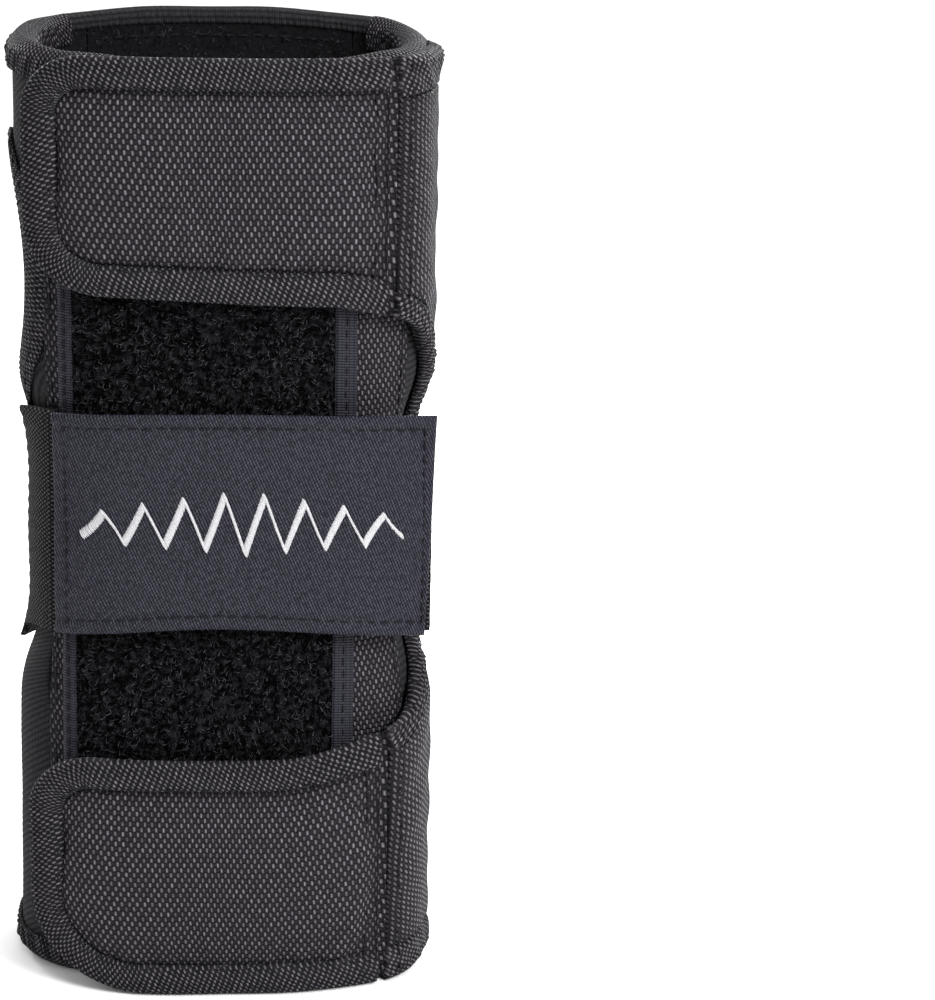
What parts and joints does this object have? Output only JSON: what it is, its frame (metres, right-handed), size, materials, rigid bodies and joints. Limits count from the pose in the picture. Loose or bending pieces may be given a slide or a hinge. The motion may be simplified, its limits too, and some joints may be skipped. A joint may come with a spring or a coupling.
{
  "type": "wrist guard",
  "caption": "Right-hand wrist guard: a padded sleeve with a bowed palm splint, a thumb hole, two wrap-over strap tails and an elastic wrist strap with hook-and-loop closure.",
  "frame": {"origin": "middle of the bounding box, on the surface that the forearm end stands on", "axes": "+Z from the forearm end to the finger end, -Y out of the back of the hand, +Y out of the palm, -X towards the thumb and +X towards the little finger"},
  "size_m": [0.0938, 0.0734, 0.211],
  "materials": {
    "nylon": "woven ballistic nylon, slight sheen",
    "binding_tape": "ribbed woven tape",
    "knit": "fine ribbed knit on thin foam, matte",
    "foam": "closed-cell foam with brushed face, matte",
    "lining": "brushed lining, matte",
    "leather": "grained synthetic leather, satin",
    "splint_plastic": "moulded plastic, satin",
    "loop_pile": "fuzzy loop pile, matte",
    "hook_tape": "moulded hook tape, matte",
    "elastic": "woven elastic webbing, matte",
    "twill": "diagonal twill ribbon, slight sheen"
  },
  "bodies": {
    "sleeve": {"lining_dorsal": "lining", "lining_palm": "lining", "lining_little_finger_side": "lining", "lining_thumb_side": "lining", "dorsal_pad": "foam", "palm_pad": "foam", "little_finger_side_panel": "knit", "thumb_side_panel": "knit", "thumb_hole_binding": "binding_tape", "dorsal_stay": "splint_plastic", "dorsal_panel": "nylon", "loop_patch": "loop_pile", "loop_selvage_thumb_side": "loop_pile", "loop_selvage_little_finger_side": "loop_pile", "palm_leather_panel": "leather", "splint_pocket_backing": "lining", "palm_splint": "splint_plastic", "wing_web": "nylon", "wing_cut_binding": "binding_tape", "wing_top_binding": "binding_tape", "wing_bottom_binding": "binding_tape", "top_rim_binding": "binding_tape", "bottom_rim_binding": "binding_tape", "wrist_elastic": "elastic"},
    "upper_strap": {"upper_strap_shell": "nylon", "upper_strap_padding": "foam", "upper_strap_underlay": "lining", "upper_strap_binding": "binding_tape", "upper_strap_hook_patch": "hook_tape"},
    "lower_strap": {"lower_strap_shell": "nylon", "lower_strap_padding": "foam", "lower_strap_underlay": "lining", "lower_strap_binding": "binding_tape", "lower_strap_hook_patch": "hook_tape"},
    "wrist_strap": {"wrist_strap_face": "twill", "wrist_strap_core": "elastic", "wrist_strap_hook_patch": "hook_tape"}
  },
  "joints": [
    {"name": "upper_strap_peel", "type": "hinge", "parent": "sleeve", "child": "upper_strap", "pos_m": [0.0344, -0.031, 0.18], "axis": [0, 0, 1], "range_deg": [0, 150]},
    {"name": "lower_strap_peel", "type": "hinge", "parent": "sleeve", "child": "lower_strap", "pos_m": [0.0344, -0.0313, 0.027], "axis": [0, 0, 1], "range_deg": [0, 150]},
    {"name": "wrist_strap_peel", "type": "hinge", "parent": "sleeve", "child": "wrist_strap", "pos_m": [-0.0383, -0.0247, 0.105], "axis": [0, 0, -1], "range_deg": [0, 150]}
  ]
}
